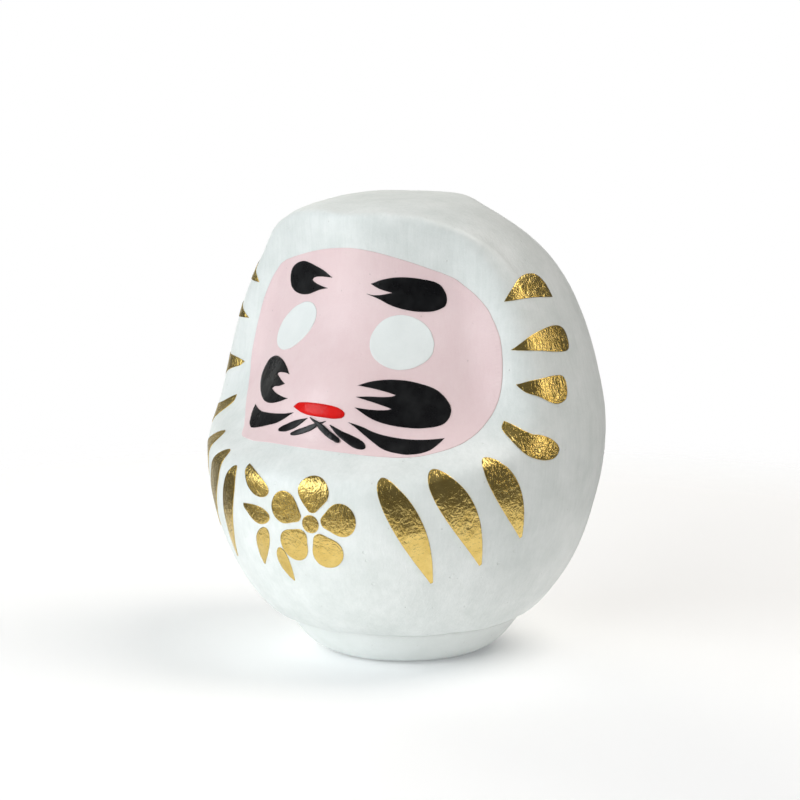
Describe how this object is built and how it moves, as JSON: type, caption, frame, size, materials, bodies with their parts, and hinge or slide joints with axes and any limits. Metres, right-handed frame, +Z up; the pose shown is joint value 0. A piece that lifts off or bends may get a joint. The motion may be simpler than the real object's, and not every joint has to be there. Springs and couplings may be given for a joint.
{
  "type": "daruma doll",
  "caption": "Round weighted papier-mache wishing doll with a hooded hollow face, blank eyes, black whiskers and gold foil brush strokes.",
  "frame": {"origin": "centre of the foot's flat underside", "axes": "+Z up the doll, -Y the way the face looks, +X to the doll's own left"},
  "size_m": [0.09, 0.0919, 0.1029],
  "materials": {
    "white_paper": "matt chalk-white paint over pasted paper",
    "white_clay": "matt chalk-white paint over dried clay",
    "pink_paint": "matt pale pink brush paint",
    "eye_paint": "satin white paint",
    "black_lacquer": "glossy black brush lacquer",
    "red_lacquer": "glossy red brush lacquer",
    "gold_foil": "mirror-like crinkled gold foil"
  },
  "bodies": {
    "root": {"beard_inner_left": "black_lacquer", "beard_inner_right": "black_lacquer", "beard_outer_left": "black_lacquer", "beard_outer_right": "black_lacquer", "blossom_eye": "gold_foil", "blossom_petal_1": "gold_foil", "blossom_petal_2": "gold_foil", "blossom_petal_3": "gold_foil", "blossom_petal_4": "gold_foil", "blossom_petal_5": "gold_foil", "brow_left": "black_lacquer", "brow_right": "black_lacquer", "chest_stroke_left_1": "gold_foil", "chest_stroke_left_2": "gold_foil", "chest_stroke_left_3": "gold_foil", "chest_stroke_right_1": "gold_foil", "chest_stroke_right_2": "gold_foil", "chest_stroke_right_3": "gold_foil", "eye_left": "eye_paint", "eye_right": "eye_paint", "face_panel": "pink_paint", "foot_weight": "white_clay", "jaw_left": "black_lacquer", "jaw_right": "black_lacquer", "mouth": "red_lacquer", "ornament_leaf_1": "gold_foil", "ornament_leaf_2": "gold_foil", "ornament_leaf_3": "gold_foil", "ornament_leaf_4": "gold_foil", "paper_shell": "white_paper", "side_stroke_left_1": "gold_foil", "side_stroke_left_2": "gold_foil", "side_stroke_left_3": "gold_foil", "side_stroke_left_4": "gold_foil", "side_stroke_right_1": "gold_foil", "side_stroke_right_2": "gold_foil", "side_stroke_right_3": "gold_foil", "side_stroke_right_4": "gold_foil", "whisker_left": "black_lacquer", "whisker_right": "black_lacquer"}
  },
  "joints": []
}
